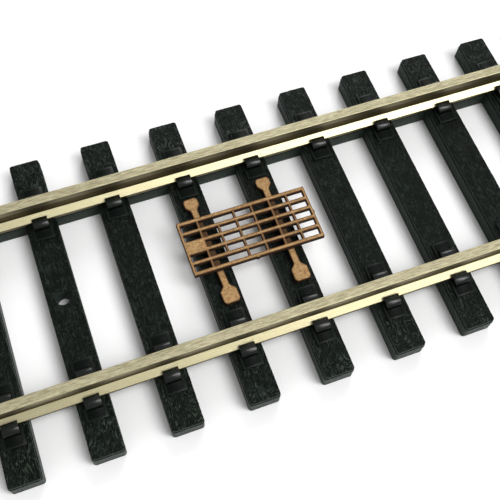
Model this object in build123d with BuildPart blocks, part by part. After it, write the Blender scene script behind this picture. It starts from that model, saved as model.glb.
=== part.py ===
from build123d import *
import math
import os

os.makedirs("parts", exist_ok=True)

# Short straight piece of 16.5 mm gauge model railway track with a small laser-cut grid between
# the rails. X runs along the rails, Y across them with the near rail at -Y, Z up. The origin is
# the centre of the track on the surface that the sleepers lie on. Sizes are in millimetres.

# Sleepers
sleeper_count = 12
sleeper_pitch = 6.82
sleeper_length = 29.06
sleeper_width = 2.87
sleeper_height = 1.95
sleeper_corner = 0.3
shoulder_height = 1.5            # height of the small ledge along the sides
shoulder_step = 0.06             # how far the upper part stands back at the ledge
sleeper_top_round = 0.08
pin_sleepers = (3, 10)
pin_hole_radius = 0.66
pin_dimple_radius = 0.76
pin_dimple_depth = 0.1

# Rails
gauge = 16.5                     # between the inner faces of the rail heads
rail_overhang = 3.99             # from the middle of an end sleeper to the rail's end
rail_height = 2.5
head_width = 0.92
head_depth = 0.62                # height of the upright head sides
head_slope = 0.16                # height of the sloped underside of the head
head_round = 0.12
web_thickness = 0.56
foot_width = 1.9
foot_edge = 0.36                 # height of the upright foot edge
foot_slope = 0.34                # rise of the foot's top from its edge to the web
rail_clearance = 0.03            # under the foot and beside its edges

# Bars of the moulding between the sleepers, under each rail
bar_width = 1.05
bar_shift = 0.2                  # from the middle of the rail towards the middle of the track

# Chairs: a plate on the sleeper and a clip over the foot edge, on both sides of the rail
plate_length = 1.8               # outward from the foot edge
plate_width = 1.9                # along the rail
plate_thickness = 0.12
clip_width = 1.4                 # along the rail
clip_height = 0.78
clip_overlap = 0.2               # over the foot edge
clip_crown = 0.3                 # outward from the foot edge to where the clip turns down
clip_heel = 0.9                  # outward from the foot edge to the foot of the curve
clip_heel_height = 0.2
clip_tail = 1.62                 # outward from the foot edge to the end of the tail
clip_tail_height = 0.2
clip_clearance = 0.05            # between the clip and the sloped foot

# Rail joiners: folded sheet that grips the rail foot
joiner_length = 9.0
joiner_sheet = 0.25
joiner_clearance = 0.03
joiner_lip = 0.42                # how far each lip reaches in over the foot
joiner_bend = 0.06
groove_clearance = 0.2           # around the joiner, in the end sleepers

# Laser-cut grid on two flat bearers
board_thickness = 0.5
grid_length = 12.45
grid_width = 5.44
grid_columns = 7
grid_rows = 5
grid_end = 0.26
grid_side = 0.36
column_bar = 0.2
row_bar = 0.33
grid_shift_x = 0.5               # from the middle between the bearers
grid_shift_y = 0.47              # from the middle of the track
tab_width = 0.3
tab_stub = 0.07
bearer_sleepers = (5, 6)
bearer_shift_x = (0.07, 0.16)    # from the middle of each sleeper
bearer_turn = (2.3, 0.0)         # degrees, about Z
bearer_stem = 0.62
near_neck = -3.78
near_tip = -5.48
near_foot_half = 0.76
far_neck = 4.26
far_tip = 5.53
far_foot_half = 0.69
foot_shoulder = 0.45
foot_tip_corner = 0.22
foot_round = 0.12

rail_offset = gauge / 2 + head_width / 2
rail_length = (sleeper_count - 1) * sleeper_pitch + 2 * rail_overhang
rail_seat = sleeper_height + rail_clearance
end_sleepers = (1, sleeper_count)
sides = (("near", -1), ("far", 1))


def sleeper_x(number):
    """Position along the track of a sleeper, counted from 1 at the left end."""
    return (number - (sleeper_count + 1) / 2) * sleeper_pitch


def across(x, y, z):
    """Upright plane across the track: its first axis is +Y, its second +Z, and it faces +X."""
    return Plane(origin=(x, y, z), x_dir=(0, 1, 0), z_dir=(1, 0, 0))


def finish(builder, name):
    """Label a finished piece and write it to its own file."""
    builder.part.label = name
    export_step(builder.part, "parts/" + name + ".step")


def foot_top(distance):
    """Height above the rail's base of the foot's top, at a distance in from the foot edge."""
    return foot_edge + foot_slope * distance / (foot_width / 2 - web_thickness / 2)


# Sleepers: a plinth with a slightly smaller upper part; two of them have a pin hole, and the end
# ones are cut away under the rails to make room for the joiners.
groove_width = foot_width + 2 * (joiner_clearance + joiner_sheet + groove_clearance)
groove_floor = rail_seat - joiner_clearance - joiner_sheet - groove_clearance
for number in range(1, sleeper_count + 1):
    x = sleeper_x(number)
    upper_width = sleeper_width - 2 * shoulder_step
    upper_length = sleeper_length - 2 * shoulder_step
    with BuildPart() as sleeper:
        with BuildSketch(Plane(origin=(x, 0, 0))):
            RectangleRounded(sleeper_width, sleeper_length, sleeper_corner)
        extrude(amount=shoulder_height)
        with BuildSketch(Plane(origin=(x, 0, shoulder_height))):
            RectangleRounded(upper_width, upper_length, sleeper_corner)
        extrude(amount=sleeper_height - shoulder_height)
        fillet(sleeper.faces().sort_by(Axis.Z)[-1].edges(), sleeper_top_round)
        if number in pin_sleepers:
            with BuildSketch(Plane(origin=(x, 0, 0))):
                Circle(pin_hole_radius)
            extrude(amount=sleeper_height, mode=Mode.SUBTRACT)
            with BuildSketch(Plane(origin=(x, 0, sleeper_height - pin_dimple_depth))):
                Circle(pin_hole_radius)
            with BuildSketch(Plane(origin=(x, 0, sleeper_height))):
                Circle(pin_dimple_radius)
            loft(mode=Mode.SUBTRACT)
        if number in end_sleepers:
            with BuildSketch(Plane(origin=(x, 0, groove_floor))):
                with Locations((0, -rail_offset), (0, rail_offset)):
                    Rectangle(2 * sleeper_width, groove_width)
            extrude(amount=sleeper_height, mode=Mode.SUBTRACT)
    finish(sleeper, "sleeper_%02d" % number)

# Bars between neighbouring sleepers, as high as the ledge, one row under each rail.
gap = sleeper_pitch - sleeper_width
for side, sign in sides:
    with BuildPart() as bars:
        with BuildSketch(Plane(origin=(0, sign * (rail_offset - bar_shift), 0))):
            with GridLocations(sleeper_pitch, 0, sleeper_count - 1, 1):
                Rectangle(gap, bar_width)
        extrude(amount=shoulder_height)
    finish(bars, side + "_bars")


# Chairs: the rail slides between an outer and an inner plate, under the noses of their clips.
def plate_section(x, edge_y, direction):
    """Section of a plate; direction is +1 or -1, outward from the foot edge at edge_y."""
    with BuildSketch(across(x - plate_width / 2, edge_y, sleeper_height)) as section:
        with BuildLine():
            Polyline(
                (direction * rail_clearance, 0),
                (direction * plate_length, 0),
                (direction * plate_length, plate_thickness),
                (direction * rail_clearance, plate_thickness),
                close=True,
            )
        make_face()
    return section.sketch


def clip_section(x, edge_y, direction):
    """Section of a clip: nose over the foot, rounded crown, and a tail down to the plate."""
    nose_height = rail_clearance + foot_top(clip_overlap) + clip_clearance
    slope_start = rail_clearance + foot_top(0) + clip_clearance
    bulge = 1 / math.sqrt(2)
    with BuildSketch(across(x - clip_width / 2, edge_y, sleeper_height)) as section:
        with BuildLine():
            Polyline(
                (direction * clip_crown, clip_height),
                (-direction * clip_overlap / 2, clip_height),
                (-direction * clip_overlap, clip_height - clip_overlap / 2),
                (-direction * clip_overlap, nose_height),
                (direction * rail_clearance, slope_start),
                (direction * rail_clearance, 0),
                (direction * clip_tail, 0),
                (direction * clip_tail, clip_tail_height),
                (direction * clip_heel, clip_heel_height),
            )
            ThreePointArc(
                (direction * clip_heel, clip_heel_height),
                (direction * (clip_crown + bulge * (clip_heel - clip_crown)),
                 clip_heel_height + bulge * (clip_height - clip_heel_height)),
                (direction * clip_crown, clip_height),
            )
        make_face()
    return section.sketch


for side, sign in sides:
    outer_edge = sign * (rail_offset + foot_width / 2)
    inner_edge = sign * (rail_offset - foot_width / 2)
    for number in range(2, sleeper_count):
        x = sleeper_x(number)
        with BuildPart() as chair:
            for edge_y, direction in ((outer_edge, sign), (inner_edge, -sign)):
                extrude(plate_section(x, edge_y, direction), amount=plate_width, dir=(1, 0, 0))
                extrude(clip_section(x, edge_y, direction), amount=clip_width, dir=(1, 0, 0))
        finish(chair, "%s_chair_%02d" % (side, number))

# Rails: flat-bottomed section, the same all along.
for side, sign in sides:
    with BuildPart() as rail:
        with BuildSketch(across(-rail_length / 2, sign * rail_offset, rail_seat)) as section:
            with BuildLine():
                Polyline(
                    (0, 0),
                    (foot_width / 2, 0),
                    (foot_width / 2, foot_edge),
                    (web_thickness / 2, foot_edge + foot_slope),
                    (web_thickness / 2, rail_height - head_depth - head_slope),
                    (head_width / 2, rail_height - head_depth),
                    (head_width / 2, rail_height),
                    (0, rail_height),
                )
                mirror(about=Plane.YZ)
            make_face()
            fillet(section.vertices().group_by(Axis.Z)[-1], head_round)
        extrude(amount=rail_length)
    finish(rail, side + "_rail")


# Joiners: sheet folded round the foot, with its lips on the foot's sloped top. One is on the
# near rail's right end and one on the far rail's left end.
joiner_half = foot_width / 2 + joiner_clearance
lip_height = foot_top(joiner_lip) + joiner_clearance
for side, sign in sides:
    joiner_x = -sign * rail_length / 2 - joiner_length / 2
    with BuildPart() as folded_joiner:
        with BuildSketch(across(joiner_x, sign * rail_offset, rail_seat)):
            with BuildLine():
                FilletPolyline(
                    (-joiner_half + joiner_lip, lip_height),
                    (-joiner_half, foot_top(0) + joiner_clearance),
                    (-joiner_half, -joiner_clearance),
                    (joiner_half, -joiner_clearance),
                    (joiner_half, foot_top(0) + joiner_clearance),
                    (joiner_half - joiner_lip, lip_height),
                    radius=joiner_bend,
                )
                offset(amount=joiner_sheet, side=Side.RIGHT)
            make_face()
        extrude(amount=joiner_length)
    finish(folded_joiner, side + "_joiner")

# Bearers: flat strips of board with a widened foot at each end, lying on two sleepers.
bearer_x = [sleeper_x(n) + s for n, s in zip(bearer_sleepers, bearer_shift_x)]
for name, x, turn in zip(("left_bearer", "right_bearer"), bearer_x, bearer_turn):
    angle = math.radians(turn)
    lie = Plane(origin=(x, 0, sleeper_height), x_dir=(math.cos(angle), math.sin(angle), 0))
    with BuildPart() as bearer:
        with BuildSketch(lie):
            with BuildLine():
                Polyline(
                    (0, near_tip),
                    (near_foot_half - foot_tip_corner, near_tip),
                    (near_foot_half, near_tip + foot_tip_corner),
                    (near_foot_half, near_neck - foot_shoulder),
                    (bearer_stem / 2, near_neck),
                    (bearer_stem / 2, far_neck),
                    (far_foot_half, far_neck + foot_shoulder),
                    (far_foot_half, far_tip - foot_tip_corner),
                    (far_foot_half - foot_tip_corner, far_tip),
                    (0, far_tip),
                )
                mirror(about=Plane.YZ)
            make_face()
        extrude(amount=board_thickness)
        fillet(bearer.edges().filter_by(Axis.Z), foot_round)
    finish(bearer, name)

# Grid: a board with rows of windows. The middle window at the left end stays solid, and the
# second column bar is left out of the two outermost rows.
window_length = (grid_length - 2 * grid_end - (grid_columns - 1) * column_bar) / grid_columns
window_width = (grid_width - 2 * grid_side - (grid_rows - 1) * row_bar) / grid_rows
column_pitch = window_length + column_bar
row_pitch = window_width + row_bar
middle_row = grid_rows // 2
grid_x = sum(bearer_x) / 2 + grid_shift_x
grid_base = sleeper_height + board_thickness
with BuildPart() as grid:
    with BuildSketch(Plane(origin=(grid_x, grid_shift_y, grid_base))):
        Rectangle(grid_length, grid_width)
        with Locations((-0.2, -grid_width / 2), (0.5, grid_width / 2)):
            Rectangle(tab_width, 2 * tab_stub)
        with Locations((grid_length / 2, 0)):
            Rectangle(2 * tab_stub, tab_width)
        for column in range(grid_columns):
            for row in range(grid_rows):
                if column == 0 and row == middle_row:
                    continue
                window_x = (column - (grid_columns - 1) / 2) * column_pitch
                window_y = (row - (grid_rows - 1) / 2) * row_pitch
                with Locations((window_x, window_y)):
                    Rectangle(window_length, window_width, mode=Mode.SUBTRACT)
        joined_x = (2 - grid_columns / 2) * column_pitch
        for row in (0, grid_rows - 1):
            with Locations((joined_x, (row - (grid_rows - 1) / 2) * row_pitch)):
                Rectangle(2 * column_bar, window_width, mode=Mode.SUBTRACT)
    extrude(amount=board_thickness)
finish(grid, "loop_grid")
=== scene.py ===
import math

import bmesh
import bpy
from mathutils import Matrix, Vector
from mathutils.bvhtree import BVHTree


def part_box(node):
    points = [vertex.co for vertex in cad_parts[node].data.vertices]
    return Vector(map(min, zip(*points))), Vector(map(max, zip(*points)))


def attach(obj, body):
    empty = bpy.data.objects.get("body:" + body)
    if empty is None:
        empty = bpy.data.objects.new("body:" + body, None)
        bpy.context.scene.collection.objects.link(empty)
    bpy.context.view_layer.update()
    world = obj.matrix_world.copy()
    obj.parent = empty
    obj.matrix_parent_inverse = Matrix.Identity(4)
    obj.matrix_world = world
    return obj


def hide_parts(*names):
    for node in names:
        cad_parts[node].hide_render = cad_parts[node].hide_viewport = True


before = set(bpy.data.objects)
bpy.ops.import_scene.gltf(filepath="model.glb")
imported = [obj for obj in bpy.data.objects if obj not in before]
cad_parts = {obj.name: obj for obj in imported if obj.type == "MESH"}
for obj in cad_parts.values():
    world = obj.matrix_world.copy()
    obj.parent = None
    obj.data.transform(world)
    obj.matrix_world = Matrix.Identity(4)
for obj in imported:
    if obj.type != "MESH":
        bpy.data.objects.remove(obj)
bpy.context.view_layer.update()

# A short straight piece of model railway track with a laser-cut grid between its rails. Shapes are
# modelled in millimetres and become metres when a piece is finished.
MM = 0.001
scene = bpy.context.scene
near_side, far_side = -1, 1


def corners(node):
    """Lowest and highest corner of a CAD node, in millimetres."""
    low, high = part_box(node)
    return low / MM, high / MM


# ---------------------------------------------------------------- sizes taken from the frame
sleeper_nodes = sorted(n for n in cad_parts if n.startswith("sleeper_"))
sleeper_low, sleeper_high = corners("sleeper_06")
sleeper_width = sleeper_high.x - sleeper_low.x
sleeper_length = sleeper_high.y - sleeper_low.y
sleeper_top = sleeper_high.z
sleeper_middles = [(corners(n)[0].x + corners(n)[1].x) / 2 for n in sleeper_nodes]
pitch = sleeper_middles[1] - sleeper_middles[0]
bar_low, bar_high = corners("near_bars")
ledge_height = bar_high.z
bar_middle = -(bar_low.y + bar_high.y) / 2
rail_low, rail_high = corners("near_rail")
rail_middle = -(rail_low.y + rail_high.y) / 2
rail_height = rail_high.z - rail_low.z
foot_half = (rail_high.y - rail_low.y) / 2
chair_low, chair_high = corners("near_chair_06")
plate_length = rail_low.y - chair_low.y
plate_width = chair_high.x - chair_low.x
clip_height = chair_high.z - sleeper_top
grid_low, grid_high = corners("loop_grid")
board_thickness = grid_high.z - grid_low.z

# Sizes that the frame's boxes don't give.
sleeper_corner = 0.3
ledge_step = 0.06
edge_round = 0.08
pin_hole_radius = 0.66
pin_dimple_radius = 0.76
pin_dimple_depth = 0.1
web_half = 0.28
head_half = 0.46
head_depth = 0.62
head_slope = 0.16
foot_edge = 0.36
foot_slope = 0.34
rail_gap = 0.03
sheet = 0.25
joiner_lip = 0.42
groove_gap = 0.2
plate_thickness = 0.12
clip_tail_height = 0.2
CUTTER_TOP = 4.0


# ---------------------------------------------------------------- node trees
class Wire:
    """A socket of a node tree. Arithmetic on it adds Math nodes."""

    def __init__(self, tree, socket):
        self.tree = tree
        self.socket = socket

    def math(self, operation, *others):
        return self.tree.node("ShaderNodeMath", {"operation": operation}, [self, *others])

    def __add__(self, other):
        return self.math("ADD", other)

    def __sub__(self, other):
        return self.math("SUBTRACT", other)

    def __mul__(self, other):
        return self.math("MULTIPLY", other)

    def __rsub__(self, other):
        return self.tree.node("ShaderNodeMath", {"operation": "SUBTRACT"}, [other, self])

    def __neg__(self):
        return self * -1.0

    __radd__ = __add__
    __rmul__ = __mul__

    def between(self, low, high):
        """0 below low, 1 above high, and smooth between them; low may be above high."""
        values = {"Value": self, "From Min": low, "From Max": high}
        return self.tree.node("ShaderNodeMapRange", {"interpolation_type": "SMOOTHSTEP"}, values)


class Tree:
    """A shader or geometry node tree that is built one node at a time."""

    def __init__(self, tree):
        self.tree = tree

    def node(self, kind, settings=None, values=None, out=0):
        """Add a node: its settings first, then values or wires for its inputs. Gives one output."""
        made = self.tree.nodes.new(kind)
        for key, setting in (settings or {}).items():
            if key == "stops":
                for stop, (place, colour) in zip(made.color_ramp.elements, setting):
                    stop.position = place
                    stop.color = (*colour, 1.0)
            else:
                setattr(made, key, setting)
        pairs = values.items() if isinstance(values, dict) else enumerate(values or [])
        for key, value in pairs:
            if isinstance(value, Wire):
                self.tree.links.new(value.socket, made.inputs[key])
            else:
                made.inputs[key].default_value = value
        return Wire(self, made.outputs[out])

    def noise(self, vector, scale, detail=3.0, roughness=0.5, **more):
        values = {"Vector": vector, "Scale": scale, "Detail": detail, "Roughness": roughness}
        values.update(more)
        return self.node("ShaderNodeTexNoise", None, values)

    def stretched(self, vector, factors):
        return self.node("ShaderNodeVectorMath", {"operation": "MULTIPLY"}, [vector, factors])

    def mixed(self, factor, first, second):
        """A colour that goes from first to second as factor goes from 0 to 1."""
        values = {0: factor, 6: first, 7: second}
        return self.node("ShaderNodeMix", {"data_type": "RGBA"}, values, out=2)


def rgb(red, green, blue):
    return (red, green, blue, 1.0)


class Finish(Tree):
    """A material whose patterns are measured in millimetres on the object itself."""

    def __init__(self, name, fixed):
        self.material = bpy.data.materials.new(name)
        self.material.use_nodes = True
        super().__init__(self.material.node_tree)
        self.shader = self.tree.nodes["Principled BSDF"]
        for socket, value in fixed.items():
            self.shader.inputs[socket].default_value = value
        place = self.node("ShaderNodeTexCoord", out="Object")
        scaled = {0: place, "Scale": 1 / MM}
        self.place = self.node("ShaderNodeVectorMath", {"operation": "SCALE"}, scaled)

    def axis(self, name):
        return self.node("ShaderNodeSeparateXYZ", None, [self.place], out=name)

    def facing_up(self):
        normal = self.node("ShaderNodeNewGeometry", out="True Normal")
        return self.node("ShaderNodeSeparateXYZ", None, [normal], out="Z")

    def bump(self, height, depth):
        """Fine relief; depth is in millimetres for a height that goes from 0 to 1."""
        return self.node("ShaderNodeBump", None, {"Distance": depth * MM, "Height": height}, "Normal")

    def to_shader(self, **wires):
        for name, wire in wires.items():
            self.tree.links.new(wire.socket, self.shader.inputs[name.replace("_", " ")])
        return self.material


# ---------------------------------------------------------------- finishes
def black_sleeper_plastic():
    """Near-black moulding with a green cast; thin curls of raised grain are shinier, and painted paler as
    a painted highlight of their glints.
    """
    finish = Finish("black_sleeper_plastic", {"IOR": 1.46, "Specular IOR Level": 0.1})
    ridge = finish.node("ShaderNodeAttribute", {"attribute_name": "ridge"}, out="Fac")
    flow = finish.noise(finish.stretched(finish.place, (1.25, 0.5, 1.25)), 1.0, 1.5, 0.5, Distortion=1.6)
    broken = finish.noise(finish.place, 1.1, 2.0).between(0.4, 0.55)
    curl = (1 - (flow * 7.0).math("PINGPONG", 0.5).between(0.05, 0.24)) * (0.25 + broken * 0.75)
    ends = finish.axis("Y").math("ABSOLUTE").between(rail_middle - 2, rail_middle + 2)
    curl = curl * (0.38 + ends * 0.62)
    grain = finish.noise(finish.stretched(finish.place, (7.0, 2.2, 7.0)), 1.0, 6.0, 0.65, Distortion=0.9)
    cloud = finish.noise(finish.place, 0.3, 3.0)
    dust = finish.noise(finish.place, 8.0, 4.0, 0.7).between(0.64, 0.74)
    dark = finish.mixed(cloud, rgb(0.0003, 0.0010, 0.0005), rgb(0.0012, 0.0030, 0.0016))
    dark = finish.mixed(grain.between(0.5, 0.76) * 0.7, dark, rgb(0.005, 0.010, 0.006))
    # Painted highlight: the grain ridges and the curls are painted paler for the glints along them; the
    # curls are fainter between the rails.
    colour = finish.mixed(ridge * (0.2 + grain * 0.5), dark, rgb(0.020, 0.031, 0.022))
    colour = finish.mixed(curl * (0.2 + grain * 0.8), colour, rgb(0.046, 0.060, 0.048))
    colour = finish.mixed(dust * 0.35, colour, rgb(0.080, 0.092, 0.080))
    # Painted light: the upright side and end faces are painted paler than the top for the light falling
    # on them.
    side = 1 - finish.facing_up().math("ABSOLUTE").between(0.3, 0.8)
    colour = finish.mixed(side * 0.6, colour, rgb(0.034, 0.050, 0.040))
    rough = 0.5 - grain * 0.15 - ridge * 0.08 - curl * 0.12 + dust * 0.1
    normal = finish.bump(grain * 0.5 + curl * 0.5, 0.07)
    return finish.to_shader(Base_Color=colour, Roughness=rough, Normal=normal)


def black_chair_plastic():
    """Smoother black moulding: the crowns of the clips are polished, the rest is matte."""
    fixed = {"IOR": 1.5, "Specular IOR Level": 0.08, "Coat IOR": 1.5, "Coat Roughness": 0.24}
    finish = Finish("black_chair_plastic", fixed)
    haze = finish.noise(finish.place, 5.0, 4.0, 0.6)
    height = finish.axis("Z") - sleeper_top
    crown = height.between(clip_tail_height + 0.14, clip_tail_height + 0.42)
    plate = height.between(plate_thickness + 0.025, plate_thickness - 0.02)
    colour = finish.mixed(haze, rgb(0.0004, 0.0014, 0.0007), rgb(0.0018, 0.0040, 0.0024))
    # Painted highlight: the plate, seen as a thin rim beyond each clip, is painted paler for the light
    # along its edge.
    colour = finish.mixed(plate * (0.3 + haze * 0.7), colour, rgb(0.009, 0.014, 0.010))
    rough = 0.34 + haze * 0.16
    coat = crown * (0.35 + haze * 0.5) + plate * 0.25
    normal = finish.bump(haze, 0.006)
    return finish.to_shader(Base_Color=colour, Roughness=rough, Coat_Weight=coat, Normal=normal)


def drawn_nickel_silver():
    """Rail: lines of the drawing die, bright foot, head rubbed matte; upright faces dull and tarnished,
    and darker below the head, which is partly tarnished metal and partly painted shade under the head.
    """
    finish = Finish("drawn_nickel_silver", {"IOR": 1.5})
    height = finish.axis("Z") - rail_low.z
    up = finish.facing_up()
    lines = finish.noise(finish.stretched(finish.place, (0.14, 18.0, 18.0)), 1.0, 5.0, 0.65)
    rubbed = finish.noise(finish.stretched(finish.place, (1.1, 11.0, 11.0)), 1.0, 5.0, 0.75)
    patches = finish.noise(finish.stretched(finish.place, (0.5, 2.2, 2.2)), 1.0, 4.0, 0.6)
    specks = finish.noise(finish.place, 12.0, 3.0, 0.7).between(0.62, 0.72)
    head = height.between(rail_height - 0.12, rail_height - 0.02) * up.between(0.8, 0.97)
    side = 1 - up.math("ABSOLUTE").between(0.25, 0.7)
    deep = side * (1 - height.between(rail_height - head_depth - 0.25, rail_height - head_depth + 0.1))
    corner = height.between(foot_edge + foot_slope + 0.35, foot_edge + foot_slope + 0.02) * side
    bright = finish.mixed(lines, rgb(0.45, 0.41, 0.245), rgb(0.58, 0.53, 0.335))
    matte = finish.mixed(rubbed.between(0.34, 0.66), rgb(0.20, 0.178, 0.094), rgb(0.56, 0.515, 0.335))
    matte = finish.mixed(lines.between(0.42, 0.6) * 0.45, matte, rgb(0.33, 0.29, 0.18))
    dull = finish.mixed(patches, rgb(0.20, 0.175, 0.11), rgb(0.31, 0.27, 0.18))
    tarnish_and_shade = finish.mixed(patches, rgb(0.10, 0.078, 0.040), rgb(0.19, 0.15, 0.085))
    colour = finish.mixed(head, bright, matte)
    colour = finish.mixed(side, colour, dull)
    # Below the head: darker colour that is partly tarnished metal and partly painted shade under the
    # head.
    colour = finish.mixed(deep, colour, tarnish_and_shade)
    # Painted highlight: the foot's upright edge is painted bright metal again for the light it catches.
    colour = finish.mixed(side * height.between(foot_edge + 0.05, foot_edge - 0.05), colour, bright)
    # Painted shade: the crease where the web meets the foot is painted near-black.
    colour = finish.mixed(corner * 0.75, colour, rgb(0.030, 0.021, 0.010))
    colour = finish.mixed(specks * 0.45, colour, rgb(0.11, 0.08, 0.045))
    metal = 1 - head * 0.55
    rough = 0.32 + lines * 0.08 + head * 0.1 + side * 0.06 + rubbed * 0.06
    normal = finish.bump(lines * 0.6 + rubbed * 0.4, 0.02)
    return finish.to_shader(Base_Color=colour, Roughness=rough, Metallic=metal, Normal=normal)


def folded_nickel_silver():
    """Joiner: rolled sheet, brighter than the rail, duller and scratched where it slides."""
    finish = Finish("folded_nickel_silver", {"Metallic": 1.0})
    rolled = finish.noise(finish.stretched(finish.place, (0.9, 20.0, 9.0)), 1.0, 5.0, 0.65)
    patches = finish.noise(finish.place, 1.4, 4.0, 0.6)
    metal = finish.mixed(rolled, rgb(0.62, 0.57, 0.44), rgb(0.78, 0.74, 0.60))
    colour = finish.mixed(patches.between(0.5, 0.75) * 0.5, metal, rgb(0.42, 0.36, 0.25))
    rough = 0.28 + rolled * 0.14 + patches * 0.12
    normal = finish.bump(rolled, 0.008)
    return finish.to_shader(Base_Color=colour, Roughness=rough, Normal=normal)


def laser_cut_board():
    """Tan fibre board: mottled orange and brown, browned by scorch beside the cuts and burnt on their
    walls; the same browns are painted shade where a board lies under the grid.
    """
    finish = Finish("laser_cut_board", {"IOR": 1.4, "Specular IOR Level": 0.2})
    burn = finish.node("ShaderNodeAttribute", {"attribute_name": "burn"}, out="Fac")
    fibres = finish.noise(finish.stretched(finish.place, (2.2, 9.0, 9.0)), 1.0, 5.0, 0.65)
    mottle = finish.noise(finish.place, 2.6, 4.0, 0.65)
    smoke = finish.noise(finish.place, 6.0, 4.0, 0.6)
    board = finish.mixed(fibres.between(0.3, 0.7), rgb(0.25, 0.148, 0.060), rgb(0.47, 0.300, 0.140))
    board = finish.mixed(mottle.between(0.5, 0.68) * 0.6, board, rgb(0.27, 0.125, 0.046))
    board = finish.mixed(smoke.between(0.5, 0.66) * 0.55, board, rgb(0.13, 0.068, 0.030))
    scorch_and_shade = finish.mixed(smoke, rgb(0.085, 0.042, 0.018), rgb(0.20, 0.10, 0.042))
    char_and_shade = finish.mixed(smoke, rgb(0.022, 0.012, 0.008), rgb(0.060, 0.030, 0.015))
    # Browns near a cut are laser scorch; on the bearers under the grid the same browns are painted shade.
    scorch_and_shade_mask = (burn + (smoke - 0.5) * 0.9).between(0.12, 0.62)
    char_and_shade_mask = burn.between(0.66, 0.96)
    colour = finish.mixed(scorch_and_shade_mask * 0.85, board, scorch_and_shade)
    colour = finish.mixed(char_and_shade_mask, colour, char_and_shade)
    rough = 0.72 + fibres * 0.2
    normal = finish.bump(fibres * 0.7 + smoke * 0.3, 0.02)
    return finish.to_shader(Base_Color=colour, Roughness=rough, Normal=normal)


def pale_table():
    finish = Finish("pale_table", {"Roughness": 0.7, "Specular IOR Level": 0.2})
    tone = finish.noise(finish.place, 0.02, 2.0)
    return finish.to_shader(Base_Color=finish.mixed(tone, rgb(0.88, 0.88, 0.88), rgb(0.9, 0.9, 0.9)))


sleeper_finish = black_sleeper_plastic()
chair_finish = black_chair_plastic()
rail_finish = drawn_nickel_silver()
joiner_finish = folded_nickel_silver()
board_finish = laser_cut_board()


# ---------------------------------------------------------------- geometry trees
class Pattern(Tree):
    """A geometry node tree with named inputs, used as a modifier."""

    def __init__(self, name, inputs):
        self.group = bpy.data.node_groups.new(name, "GeometryNodeTree")
        face = self.group.interface
        face.new_socket("Geometry", in_out="INPUT", socket_type="NodeSocketGeometry")
        for title, kind in inputs.items():
            face.new_socket(title, in_out="INPUT", socket_type="NodeSocket" + kind)
        face.new_socket("Geometry", in_out="OUTPUT", socket_type="NodeSocketGeometry")
        super().__init__(self.group)
        self.source = self.group.nodes.new("NodeGroupInput")

    def input(self, title):
        return Wire(self, self.source.outputs[title])

    def end(self, geometry):
        """Finish with Realize Instances and Set Material."""
        real = self.node("GeometryNodeRealizeInstances", None, [geometry])
        values = {"Geometry": real, "Material": self.input("Material")}
        made = self.node("GeometryNodeSetMaterial", None, values)
        output = self.group.nodes.new("NodeGroupOutput")
        self.group.links.new(made.socket, output.inputs[0])

    def use(self, model, **values):
        """Put the tree on an object, with its inputs set by their identifiers."""
        modifier = model.modifiers.new(self.group.name, "NODES")
        modifier.node_group = self.group
        for item in self.group.interface.items_tree:
            if item.in_out == "INPUT" and item.name in values:
                modifier[item.identifier] = values[item.name]
        return modifier


def wood_grain_pattern():
    """Raises curling wood grain on a sleeper, marks it, and sets the sleeper in its place."""
    inputs = {"Place": "Vector", "Seed": "Float", "Lumps": "Float", "Wrinkles": "Float",
              "Material": "Material"}
    pattern = Pattern("wood_grain", inputs)
    place = pattern.node("GeometryNodeInputPosition")
    seed = pattern.node("ShaderNodeCombineXYZ", None, [pattern.input("Seed"), 0.0, 0.0])
    shifted = pattern.node("ShaderNodeVectorMath", {"operation": "ADD"}, [place, seed])
    lumps = pattern.noise(pattern.stretched(shifted, (2.4, 0.9, 2.4)), 1.0, 4.0, 0.6, Distortion=0.6)
    flow = pattern.noise(pattern.stretched(shifted, (1.5, 0.42, 1.5)), 1.0, 2.0, 0.5, Distortion=1.1)
    line = 1 - (flow * 5.5).math("PINGPONG", 0.5).between(0.03, 0.2)
    broken = pattern.noise(pattern.stretched(shifted, (2.0, 1.2, 2.0)), 1.0, 2.0).between(0.4, 0.55)
    normal = pattern.node("GeometryNodeInputNormal")
    up = pattern.node("ShaderNodeSeparateXYZ", None, [normal], out="Z").math("ABSOLUTE")
    height = pattern.node("ShaderNodeSeparateXYZ", None, [place], out="Z")
    share = (0.3 + up.between(0.2, 0.9) * 0.7) * height.between(0.05, 0.3)
    ridge = line * broken
    lowered = (1 - lumps.between(0.25, 0.75)) * pattern.input("Lumps")
    lowered = (lowered + (1 - ridge) * pattern.input("Wrinkles")) * share
    offset = pattern.node("ShaderNodeVectorMath", {"operation": "SCALE"},
                          {0: normal, "Scale": -lowered})
    values = {"Geometry": pattern.input("Geometry"), "Name": "ridge", "Value": ridge * share}
    marked = pattern.node("GeometryNodeStoreNamedAttribute", {"data_type": "FLOAT"}, values)
    carved = pattern.node("GeometryNodeSetPosition", None, {"Geometry": marked, "Offset": offset})
    values = {"Geometry": carved, "Translation": pattern.input("Place")}
    pattern.end(pattern.node("GeometryNodeTransform", None, values))
    return pattern


def row_pattern():
    """Repeats a small moulding along the track, once for each sleeper or gap."""
    inputs = {"Count": "Int", "Start": "Vector", "Pitch": "Float", "Material": "Material"}
    pattern = Pattern("row_along_track", inputs)
    step = pattern.node("ShaderNodeCombineXYZ", None, [pattern.input("Pitch"), 0.0, 0.0])
    values = {"Count": pattern.input("Count"), "Start Location": pattern.input("Start"), "Offset": step}
    line = pattern.node("GeometryNodeMeshLine", None, values)
    values = {"Points": line, "Instance": pattern.input("Geometry")}
    pattern.end(pattern.node("GeometryNodeInstanceOnPoints", None, values))
    return pattern


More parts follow.
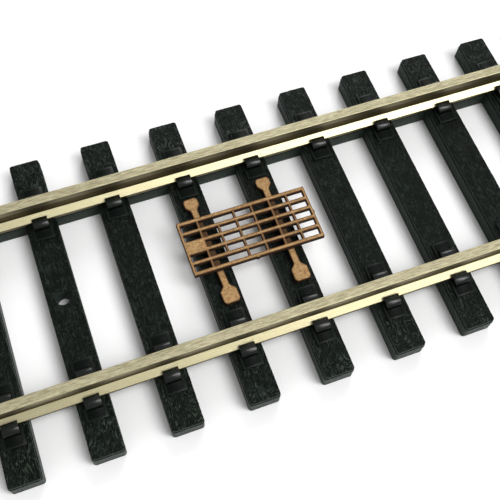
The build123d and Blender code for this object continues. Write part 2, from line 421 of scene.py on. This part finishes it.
def drawn_pattern():
    """Draws a section along the track, with the faint waviness of drawn or rolled metal."""
    inputs = {"Start": "Vector", "End": "Vector", "Rings": "Int", "Wave": "Float", "Seed": "Float",
              "Material": "Material"}
    pattern = Pattern("drawn_section", inputs)
    line = pattern.node("GeometryNodeCurvePrimitiveLine", None,
                        {"Start": pattern.input("Start"), "End": pattern.input("End")})
    line = pattern.node("GeometryNodeResampleCurve", None,
                        {"Curve": line, "Count": pattern.input("Rings")})
    line = pattern.node("GeometryNodeSetCurveNormal", {"mode": "Z_UP"}, {"Curve": line})
    values = {"Curve": line, "Profile Curve": pattern.input("Geometry"), "Fill Caps": True}
    solid = pattern.node("GeometryNodeCurveToMesh", None, values)
    place = pattern.node("GeometryNodeInputPosition")
    seed = pattern.node("ShaderNodeCombineXYZ", None, [pattern.input("Seed"), 0.0, 0.0])
    shifted = pattern.node("ShaderNodeVectorMath", {"operation": "ADD"}, [place, seed])
    wave = pattern.noise(pattern.stretched(shifted, (0.22, 0.6, 0.6)), 1.0, 2.0) - 0.5
    offset = pattern.node("ShaderNodeCombineXYZ", None, [0.0, wave * pattern.input("Wave"), 0.0])
    values = {"Geometry": solid, "Offset": offset}
    pattern.end(pattern.node("GeometryNodeSetPosition", None, values))
    return pattern


grain_pattern = wood_grain_pattern()
row = row_pattern()
drawn = drawn_pattern()


# ---------------------------------------------------------------- shapes
def rounded(points, radii, steps=4):
    """Closed outline with each corner rounded by its own radius."""
    outline = []
    for index, (corner, radius) in enumerate(zip(points, radii)):
        corner = Vector(corner)
        before = (Vector(points[index - 1]) - corner).normalized()
        after = (Vector(points[(index + 1) % len(points)]) - corner).normalized()
        if radius <= 0:
            outline.append(corner)
            continue
        half = before.angle(after) / 2
        reach = radius / math.tan(half)
        middle = corner + (before + after).normalized() * (radius / math.sin(half))
        first = corner + before * reach - middle
        last = corner + after * reach - middle
        turn = first.angle(last)
        for step in range(steps + 1):
            share = step / steps
            arm = first * math.sin((1 - share) * turn) + last * math.sin(share * turn)
            outline.append(middle + arm / math.sin(turn))
    return outline


def new_object(name, data):
    made = bpy.data.objects.new(name, data)
    scene.collection.objects.link(made)
    return made


def from_bmesh(name, mesh_work):
    """A new object that holds a finished bmesh, with its faces pointing outwards."""
    bmesh.ops.remove_doubles(mesh_work, verts=mesh_work.verts, dist=0.0005)
    bmesh.ops.recalc_face_normals(mesh_work, faces=mesh_work.faces)
    data = bpy.data.meshes.new(name)
    mesh_work.to_mesh(data)
    mesh_work.free()
    return new_object(name, data)


def add_prism(mesh_work, outline, place):
    """Solid between two copies of an outline; place gives a point for (end, outline point)."""
    ends = [[mesh_work.verts.new(place(end, point)) for point in outline] for end in (0, 1)]
    count = len(outline)
    for index in range(count):
        after = (index + 1) % count
        mesh_work.faces.new([ends[0][index], ends[0][after], ends[1][after], ends[1][index]])
    mesh_work.faces.new(ends[0][::-1])
    mesh_work.faces.new(ends[1])


def bevelled(model, width, segments, angle):
    """Round the edges that are sharper than an angle, in degrees."""
    modifier = model.modifiers.new("edges", "BEVEL")
    modifier.width = width
    modifier.segments = segments
    modifier.limit_method = "ANGLE"
    modifier.angle_limit = math.radians(angle)
    modifier.harden_normals = False
    return model


def settled(name, model, sharp_angle):
    """Plain mesh object of what a model's modifiers make, still in millimetres."""
    depsgraph = bpy.context.evaluated_depsgraph_get()
    data = bpy.data.meshes.new_from_object(model.evaluated_get(depsgraph), depsgraph=depsgraph)
    data.polygons.foreach_set("use_smooth", [True] * len(data.polygons))
    data.set_sharp_from_angle(angle=math.radians(sharp_angle))
    bpy.data.objects.remove(model)
    return new_object(name, data)


def finished(name, model, body, nodes, finish, sharp_angle=40):
    """Piece in metres that rides on a body and stands for CAD nodes."""
    piece = settled(name, model, sharp_angle)
    piece.data.transform(Matrix.Scale(MM, 4))
    piece.data.polygons.foreach_set("material_index", [0] * len(piece.data.polygons))
    piece.data.materials.clear()
    piece.data.materials.append(finish)
    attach(piece, body)
    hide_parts(*nodes)
    return piece


# ---------------------------------------------------------------- sleepers
def sleeper_blank():
    """One plain sleeper about the origin: rounded top, ledge along the sides, fine even mesh."""
    columns = 44
    rows = 380
    straight = sleeper_top - edge_round
    rings = []
    for angle in (30, 60, 90):
        turn = math.radians(angle)
        inset = ledge_step + edge_round * (1 - math.sin(turn))
        rings.append((inset, sleeper_top - edge_round * (1 - math.cos(turn))))
    rings += [(ledge_step, straight - part * (straight - ledge_height) / 3) for part in (1, 2)]
    rings += [(ledge_step, ledge_height + 0.02), (ledge_step * 0.4, ledge_height)]
    rings += [(0.0, ledge_height - 0.03)]
    rings += [(0.0, (ledge_height - 0.03) * (1 - part / 8)) for part in range(1, 8)]
    rings += [(0.0, 0.04), (0.03, 0.0)]

    def spot(across, along, inset, height):
        half_width = sleeper_width / 2 - inset
        half_length = sleeper_length / 2 - inset
        radius = sleeper_corner - inset
        x, y = across * half_width, along * half_length
        over_x = abs(x) - (half_width - radius)
        over_y = abs(y) - (half_length - radius)
        if over_x > 0 and over_y > 0:
            share = max(over_x, over_y) / math.hypot(over_x, over_y)
            x = math.copysign(half_width - radius + over_x * share, x)
            y = math.copysign(half_length - radius + over_y * share, y)
        return (x, y, height)

    work = bmesh.new()
    top_inset = ledge_step + edge_round
    grid = [[work.verts.new(spot(2 * c / columns - 1, 2 * r / rows - 1, top_inset, sleeper_top))
             for c in range(columns + 1)] for r in range(rows + 1)]
    for r in range(rows):
        for c in range(columns):
            work.faces.new([grid[r][c], grid[r][c + 1], grid[r + 1][c + 1], grid[r + 1][c]])
    rim = [(c, 0) for c in range(columns)] + [(columns, r) for r in range(rows)]
    rim += [(c, rows) for c in range(columns, 0, -1)] + [(0, r) for r in range(rows, 0, -1)]
    above = [grid[r][c] for c, r in rim]
    for inset, height in rings:
        below = [work.verts.new(spot(2 * c / columns - 1, 2 * r / rows - 1, inset, height))
                 for c, r in rim]
        for index in range(len(rim)):
            after = (index + 1) % len(rim)
            work.faces.new([above[index], below[index], below[after], above[after]])
        above = below
    work.faces.new(above[::-1])
    data = bpy.data.meshes.new("sleeper_blank")
    work.normal_update()
    work.to_mesh(data)
    work.free()
    return data


def pin_cutter(x):
    """Round hole for a track pin, with a shallow funnel at the top."""
    profile = [(pin_hole_radius, -1.0), (pin_hole_radius, sleeper_top - pin_dimple_depth),
               (pin_dimple_radius, sleeper_top), (pin_dimple_radius * 1.2, sleeper_top + 0.5)]
    segments = 40
    work = bmesh.new()
    rings = []
    for radius, height in profile:
        turns = [2 * math.pi * s / segments for s in range(segments)]
        rings.append([work.verts.new((x + radius * math.cos(t), radius * math.sin(t), height))
                      for t in turns])
    for lower, upper in zip(rings, rings[1:]):
        for index in range(segments):
            after = (index + 1) % segments
            work.faces.new([lower[index], lower[after], upper[after], upper[index]])
    work.faces.new(rings[0][::-1])
    work.faces.new(rings[-1])
    return from_bmesh("pin_cutter", work)


def groove_cutter(x, side):
    """Room for a joiner under a rail, across an end sleeper."""
    half = foot_half + rail_gap + sheet + groove_gap
    floor = rail_low.z - rail_gap - sheet - groove_gap
    base = [(-half, floor), (half, floor), (half, CUTTER_TOP), (-half, CUTTER_TOP)]
    base = rounded(base, [0.08, 0.08, 0, 0])
    work = bmesh.new()
    add_prism(work, base, lambda end, p: (x + (2 * end - 1) * sleeper_width,
                                          side * rail_middle + p.x, p.y))
    return from_bmesh("groove_cutter", work)


def cut(model, cutters):
    """Cut the cutters out of a model and drop them."""
    for cutter in cutters:
        modifier = model.modifiers.new("cut", "BOOLEAN")
        modifier.operation = "DIFFERENCE"
        modifier.solver = "EXACT"
        modifier.object = cutter
        cutter.hide_render = True
    made = settled(model.name + "_cut", model, 40)
    for cutter in cutters:
        bpy.data.objects.remove(cutter)
    return made


blank = sleeper_blank()
pin_sleepers = ("sleeper_03", "sleeper_10")
for index, (node, middle) in enumerate(zip(sleeper_nodes, sleeper_middles)):
    timber = new_object("timber", blank.copy())
    grain_pattern.use(timber, Place=(middle, 0.0, 0.0), Seed=17.0 + 31.7 * index, Lumps=0.035,
                      Wrinkles=0.035, Material=sleeper_finish)
    timber = settled("carved_timber", timber, 50)
    if node in pin_sleepers:
        timber = cut(timber, [pin_cutter(middle)])
    if node in (sleeper_nodes[0], sleeper_nodes[-1]):
        timber = cut(timber, [groove_cutter(middle, near_side), groove_cutter(middle, far_side)])
    finished("timber" + node[-3:], timber, "track_base", [node],
             sleeper_finish, 50)


# ---------------------------------------------------------------- bars under the rails
def bar_blank():
    """Bar of the moulding that joins two sleepers under a rail."""
    tuck = 0.1
    half_length = (pitch - sleeper_width) / 2 + tuck
    half_width = (bar_high.y - bar_low.y) / 2
    outline = [(-half_width, 0.0), (half_width, 0.0), (half_width, ledge_height),
               (-half_width, ledge_height)]
    outline = rounded(outline, [0.03, 0.03, 0.12, 0.12])
    work = bmesh.new()
    add_prism(work, outline, lambda end, p: ((2 * end - 1) * half_length, p.x, p.y))
    return from_bmesh("bar", work)


for side, name in ((near_side, "near_bars"), (far_side, "far_bars")):
    bar = bar_blank()
    start = (sleeper_middles[0] + pitch / 2, side * bar_middle, 0.0)
    row.use(bar, Count=len(sleeper_nodes) - 1, Start=start, Pitch=pitch, Material=sleeper_finish)
    finished(name + "_moulding", bar, "track_base", [name], sleeper_finish)


# ---------------------------------------------------------------- chairs
def chair_blank():
    """Plates and clips for both sides of a rail, about the middle of the rail's foot."""
    work = bmesh.new()
    sunk = 0.08
    clip_width = 1.4
    gap = 0.05
    overlap = 0.2
    rise = foot_slope / (foot_half - web_half)
    underside = rail_gap + foot_edge + gap
    crown = 0.3
    heel = 0.9
    tail = 1.62
    section = [(tail, -sunk), (rail_gap, -sunk), (rail_gap, underside),
               (-overlap, underside + overlap * rise), (-overlap, clip_height - 0.1),
               (-overlap / 2, clip_height)]
    radii = [0, 0, 0.03, 0.03, 0.05, 0.1]
    for part in range(9):
        turn = math.radians(90 - 10 * part)
        section.append((crown + (heel - crown) * math.cos(turn),
                        clip_tail_height + (clip_height - clip_tail_height) * math.sin(turn)))
        radii.append(0)
    section += [(heel + 0.02, clip_tail_height), (tail, clip_tail_height)]
    radii += [0, 0.03]
    clip = rounded(section, radii, 5)
    plate = [(rail_gap, -sunk), (plate_length, -sunk), (plate_length, plate_thickness),
             (rail_gap, plate_thickness)]
    plate = rounded(plate, [0, 0, 0.035, 0.035], 3)
    for way in (-1, 1):
        for outline, width in ((clip, clip_width), (plate, plate_width)):
            add_prism(work, outline, lambda end, p: ((end - 0.5) * width,
                                                     way * (foot_half + p.x), sleeper_top + p.y))
    return bevelled(from_bmesh("chair", work), 0.04, 2, 50)


for side, name in ((near_side, "near"), (far_side, "far")):
    nodes = sorted(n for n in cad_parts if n.startswith(name + "_chair_"))
    chair = settled("plain_chair", chair_blank(), 40)
    start = (sleeper_middles[1], side * rail_middle, 0.0)
    row.use(chair, Count=len(nodes), Start=start, Pitch=pitch, Material=chair_finish)
    finished(name + "_chairs", chair, "track_base", nodes, chair_finish)


# ---------------------------------------------------------------- rails and joiners
def section_curve(name, outline):
    """Closed flat curve that a section is drawn from."""
    data = bpy.data.curves.new(name, "CURVE")
    data.dimensions = "2D"
    data.fill_mode = "NONE"
    spline = data.splines.new("POLY")
    spline.points.add(len(outline) - 1)
    for point, (y, z) in zip(spline.points, outline):
        point.co = (-y, -z, 0.0, 1.0)
    spline.use_cyclic_u = True
    return new_object(name, data)


def rail_section():
    """Flat-bottomed rail about the middle of its foot's underside."""
    under_head = rail_height - head_depth
    right = [(foot_half, 0.0), (foot_half, foot_edge), (web_half, foot_edge + foot_slope),
             (web_half, under_head - head_slope), (head_half, under_head), (head_half, rail_height)]
    radii = [0.04, 0.05, 0.07, 0.06, 0.05, 0.09]
    left = [(-y, z) for y, z in reversed(right)]
    return rounded(right + left, radii + radii[::-1], 5)


def joiner_section():
    """Sheet folded round the foot of the rail, with its lips on the sloped top of the foot."""
    rise = foot_slope / (foot_half - web_half)
    inner_half = foot_half + rail_gap
    inner_top = foot_edge + rail_gap
    lean = math.atan(rise)
    lip_y = inner_half - joiner_lip
    lip_z = inner_top + joiner_lip * rise
    outer_half = inner_half + sheet
    outer_top = inner_top + sheet * math.tan(math.pi / 4 - lean / 2)
    tip_y = lip_y + sheet * math.sin(lean)
    tip_z = lip_z + sheet * math.cos(lean)
    right = [(outer_half, -rail_gap - sheet), (outer_half, outer_top), (tip_y, tip_z),
             (lip_y, lip_z), (inner_half, inner_top), (inner_half, -rail_gap)]
    radii = [0.3, 0.26, 0.08, 0.05, 0.05, 0.05]
    left = [(-y, z) for y, z in reversed(right)]
    return rounded(right + left, radii + radii[::-1], 5)


for side, name in ((near_side, "near"), (far_side, "far")):
    base = (side * rail_middle, rail_low.z)
    low, high = corners(name + "_rail")
    rail = section_curve("rail_section", rail_section())
    drawn.use(rail, Start=(low.x, *base), End=(high.x, *base), Rings=170, Wave=0.012,
              Seed=5.0 + 40.0 * side, Material=rail_finish)
    rail = bevelled(settled("drawn_rail", rail, 40), 0.025, 2, 60)
    finished(name + "_rail_bar", rail, name + "_rail", [name + "_rail"], rail_finish)
    low, high = corners(name + "_joiner")
    joiner = section_curve("joiner_section", joiner_section())
    drawn.use(joiner, Start=(low.x, *base), End=(high.x, *base), Rings=40, Wave=0.006,
              Seed=90.0 + side, Material=joiner_finish)
    joiner = bevelled(settled("folded_joiner", joiner, 40), 0.03, 2, 60)
    finished(name + "_joiner_sheet", joiner, name + "_joiner", [name + "_joiner"],
             joiner_finish)


# ---------------------------------------------------------------- laser-cut board
def board_pattern():
    """Fibre relief on the faces of a board and unevenness along its cuts, then its place."""
    inputs = {"Place": "Vector", "Turn": "Vector", "Seed": "Float", "Relief": "Float", "Kerf": "Float",
              "Material": "Material"}
    pattern = Pattern("cut_board", inputs)
    place = pattern.node("GeometryNodeInputPosition")
    seed = pattern.node("ShaderNodeCombineXYZ", None, [pattern.input("Seed"), 0.0, 0.0])
    shifted = pattern.node("ShaderNodeVectorMath", {"operation": "ADD"}, [place, seed])
    fibres = pattern.noise(pattern.stretched(shifted, (2.2, 7.0, 7.0)), 1.0, 4.0, 0.6)
    kerf = pattern.noise(pattern.stretched(shifted, (5.0, 5.0, 0.6)), 1.0, 3.0, 0.6, Distortion=0.3)
    other = pattern.noise(pattern.stretched(shifted, (5.6, 5.6, 0.6)), 1.0, 3.0, 0.6)
    normal = pattern.node("GeometryNodeInputNormal")
    up = pattern.node("ShaderNodeSeparateXYZ", None, [normal], out="Z")
    drop = (1 - fibres.between(0.3, 0.7)) * pattern.input("Relief") * up
    values = [(kerf - 0.5) * pattern.input("Kerf"), (other - 0.5) * pattern.input("Kerf"), -drop]
    offset = pattern.node("ShaderNodeCombineXYZ", None, values)
    rough = pattern.node("GeometryNodeSetPosition", None,
                         {"Geometry": pattern.input("Geometry"), "Offset": offset})
    values = {"Geometry": rough, "Translation": pattern.input("Place"), "Rotation": pattern.input("Turn")}
    pattern.end(pattern.node("GeometryNodeTransform", None, values))
    return pattern


cut_board = board_pattern()


def spaced(stops, step):
    """Positions from the first stop to the last, through each of them, no further apart than step."""
    places = [stops[0]]
    for before, after in zip(stops, stops[1:]):
        parts = max(1, math.ceil((after - before) / step))
        places += [before + (after - before) * part / parts for part in range(1, parts + 1)]
    return places


def board_blank(name, xs, ys, is_board, place):
    """Board made of small cells; place turns a cell corner into its position on the board."""
    layers = 4
    work = bmesh.new()
    made = {}

    def vertex(i, j, layer):
        if (i, j, layer) not in made:
            x, y = place(xs[i], ys[j])
            made[i, j, layer] = work.verts.new((x, y, board_thickness * layer / layers))
        return made[i, j, layer]

    solid = {(i, j) for i in range(len(xs) - 1) for j in range(len(ys) - 1)
             if is_board((xs[i] + xs[i + 1]) / 2, (ys[j] + ys[j + 1]) / 2)}
    for i, j in solid:
        around = [(i, j), (i + 1, j), (i + 1, j + 1), (i, j + 1)]
        work.faces.new([vertex(*corner, layers) for corner in around])
        work.faces.new([vertex(*corner, 0) for corner in reversed(around)])
        beyond = [(i, j - 1), (i + 1, j), (i, j + 1), (i - 1, j)]
        for index, other in enumerate(beyond):
            if other in solid:
                continue
            first, last = around[index], around[(index + 1) % 4]
            for layer in range(layers):
                work.faces.new([vertex(*first, layer), vertex(*last, layer),
                                vertex(*last, layer + 1), vertex(*first, layer + 1)])
    work.normal_update()
    data = bpy.data.meshes.new(name)
    work.to_mesh(data)
    work.free()
    return bevelled(new_object(name, data), 0.022, 2, 50)


def burnt(model, reach, painted_shade_span):
    """Mark how close each point of a board is to a cut: 1 on the cut itself, 0 at reach from it.

    The last argument is the stretch along Y under another board, where painted shade browns this board as
    if it lay by a cut.
    """
    # Painted shade: points under another board are browned almost as much as a cut's own face.
    painted_shade_level = 0.84
    data = model.data
    points = [v.co.copy() for v in data.vertices]
    walls = [tuple(f.vertices) for f in data.polygons if abs(f.normal.z) < 0.5]
    tree = BVHTree.FromPolygons(points, walls)
    values = []
    for point in points:
        distance = tree.find_nearest(point)[3]
        brown = painted_shade_level if painted_shade_span[0] < point.y < painted_shade_span[1] else 0.0
        values.append(max(brown, 1 - distance / reach))
    data.attributes.new("burn", "FLOAT", "POINT").data.foreach_set("value", values)
    return model


def grid_board():
    """Board with rows of windows, about the middle of its rectangle."""
    columns = 7
    rows = 5
    end_bar = 0.26
    side_bar = 0.36
    column_bar = 0.2
    row_bar = 0.33
    tab_half = 0.15
    stub = 0.07
    near_tab, far_tab = -0.2, 0.5
    burn_line = 0.05
    half_length = (grid_high.x - grid_low.x - stub) / 2
    half_width = (grid_high.y - grid_low.y) / 2 - stub
    window_x = (2 * half_length - 2 * end_bar - (columns - 1) * column_bar) / columns
    window_y = (2 * half_width - 2 * side_bar - (rows - 1) * row_bar) / rows

    def bars(half, edge_bar, window, bar, count):
        """Where each bar starts and ends along one direction."""
        found = [(-half, -half + edge_bar)]
        for _ in range(count - 1):
            start = found[-1][1] + window
            found.append((start, start + bar))
        return found + [(half - edge_bar, half)]

    bars_x = bars(half_length, end_bar, window_x, column_bar, columns)
    bars_y = bars(half_width, side_bar, window_y, row_bar, rows)
    lines_x = {half_length + stub, near_tab - tab_half, near_tab + tab_half, far_tab - tab_half,
               far_tab + tab_half}
    lines_y = {-half_width - stub, half_width + stub, -tab_half, tab_half}
    for lines, found in ((lines_x, bars_x), (lines_y, bars_y)):
        for start, end in found:
            lines.update((start, start + burn_line, end - burn_line, end))

    def is_board(x, y):
        if y < -half_width:
            return abs(x - near_tab) < tab_half
        if y > half_width:
            return abs(x - far_tab) < tab_half
        if x > half_length:
            return abs(y) < tab_half
        row_number = sum(y > end for start, end in bars_y)
        column_number = sum(x > end for start, end in bars_x)
        if any(start <= y <= end for start, end in bars_y):
            return True
        on_bar = [n for n, (start, end) in enumerate(bars_x) if start <= x <= end]
        if on_bar:
            return not (on_bar[0] == 2 and row_number in (1, rows))
        return column_number == 1 and row_number == rows // 2 + 1

    def merged(lines):
        """Lines in order, without the ones that almost touch the line before."""
        kept = []
        for line in sorted(lines):
            if not kept or line - kept[-1] > 0.012:
                kept.append(line)
        return kept

    return board_blank("grid_board", spaced(merged(lines_x), 0.12), spaced(merged(lines_y), 0.12),
                       is_board, lambda x, y: (x, y))


def bearer_board(near_tip, near_neck, near_half, far_neck, far_tip, far_half):
    """Strip with a widened foot at each end, along Y."""
    stem_half = 0.31
    shoulder = 0.45
    clip = 0.22
    widths = [(near_tip, near_half - clip), (near_tip + clip, near_half),
              (near_neck - shoulder, near_half), (near_neck, stem_half), (far_neck, stem_half),
              (far_neck + shoulder, far_half), (far_tip - clip, far_half), (far_tip, far_half - clip)]

    def sharp_width(y):
        for (before, first), (after, last) in zip(widths, widths[1:]):
            if y <= after:
                return first + (last - first) * max(0.0, y - before) / (after - before)
        return widths[-1][1]

    def half_width(y):
        """Half width with its corners softened."""
        return sum(sharp_width(y + shift) for shift in (-0.08, -0.04, 0.0, 0.04, 0.08)) / 5

    across = [-1.0, -0.86, -0.55, -0.2, 0.2, 0.55, 0.86, 1.0]
    along = spaced([near_tip, near_tip + 0.05, far_tip - 0.05, far_tip], 0.09)
    return board_blank("bearer_board", across, along, lambda x, y: True,
                       lambda x, y: (x * half_width(y), y))


def board_piece(name, node, blank, place, turn, seed, painted_shade_span=(0.0, 0.0)):
    """Finished board part with burnt cuts, at its place on the track."""
    scorch_reach = 0.12
    model = burnt(settled("plain_board", blank, 40), scorch_reach, painted_shade_span)
    cut_board.use(model, Place=place, Turn=(0.0, 0.0, math.radians(turn)), Seed=seed, Relief=0.015,
                  Kerf=0.03, Material=board_finish)
    finished(name, model, "track_base", [node], board_finish)


stub_length = 0.07
grid_place = ((grid_low.x + grid_high.x - stub_length) / 2, (grid_low.y + grid_high.y) / 2, grid_low.z)
board_piece("window_grid", "loop_grid", grid_board(), grid_place, 0.0, 3.0)
left_shift, right_shift = 0.07, 0.16
left_turn, right_turn = 2.3, 0.0
left_place = (sleeper_middles[4] + left_shift, 0.0, sleeper_top)
right_place = (sleeper_middles[5] + right_shift, 0.0, sleeper_top)
near_tip, near_neck, near_foot_half = -5.48, -3.78, 0.76
far_neck, far_tip, far_foot_half = 4.26, 5.53, 0.69
feet = (near_tip, near_neck, near_foot_half, far_neck, far_tip, far_foot_half)
# Stretch of the bearers under the grid, which gets painted shade in the colour of scorch.
under_grid = (grid_low.y, grid_high.y)
board_piece("left_strip", "left_bearer", bearer_board(*feet), left_place, left_turn, 40.0, under_grid)
board_piece("right_strip", "right_bearer", bearer_board(*feet), right_place, right_turn, 80.0,
            under_grid)


# ---------------------------------------------------------------- table, light and camera
def pale_floor():
    span, thickness = 3.0, 0.02
    work = bmesh.new()
    bmesh.ops.create_cube(work, size=1.0)
    shape = Matrix.Diagonal((span, span, thickness, 1.0))
    work.transform(Matrix.Translation((0.0, 0.0, -thickness / 2)) @ shape)
    floor = from_bmesh("pale_floor", work)
    floor.data.materials.append(pale_table())


def soft_light(name, place, size, power):
    """Flat soft light that faces the track."""
    data = bpy.data.lights.new(name, "AREA")
    data.shape = "RECTANGLE"
    data.size = size[0]
    data.size_y = size[1]
    data.energy = power
    light = new_object(name, data)
    turn = Vector(place).to_track_quat("Z", "Y").to_matrix().to_4x4()
    light.matrix_world = Matrix.Translation(place) @ turn


pale_floor()
world = bpy.data.worlds.new("room")
world.use_nodes = True
room = world.node_tree.nodes["Background"]
room.inputs["Color"].default_value = rgb(1.0, 1.0, 1.0)
room.inputs["Strength"].default_value = 0.5
scene.world = world
soft_light("window_light", (0.43, -0.3, 1.0), (0.38, 0.7), 8.0)
soft_light("front_light", (0.62, -0.75, 0.95), (0.8, 0.5), 3.4)
soft_light("back_light", (0.55, 1.1, 0.9), (0.6, 0.7), 8.0)

camera_data = bpy.data.cameras.new("camera")
camera_data.lens = 58.51
camera_data.sensor_width = 36.0
camera_data.clip_start = 2 * MM
camera_data.clip_end = 20.0
camera_place = Vector((-20.947, -29.550, 68.721)) * MM
camera = new_object("camera", camera_data)
right = Vector((0.93710205, -0.34517702, 0.0518901))
down = Vector((-0.29141782, -0.85549767, -0.42801798))
forward = Vector((0.19213383, 0.38597482, -0.90227935))
turn = Matrix((right, -down, -forward)).transposed().to_4x4()
camera.matrix_world = Matrix.Translation(camera_place) @ turn
scene.camera = camera
scene.view_settings.view_transform = "Standard"

bpy.context.view_layer.update()
for model in [m for m in bpy.data.meshes if not m.users]:
    bpy.data.meshes.remove(model)
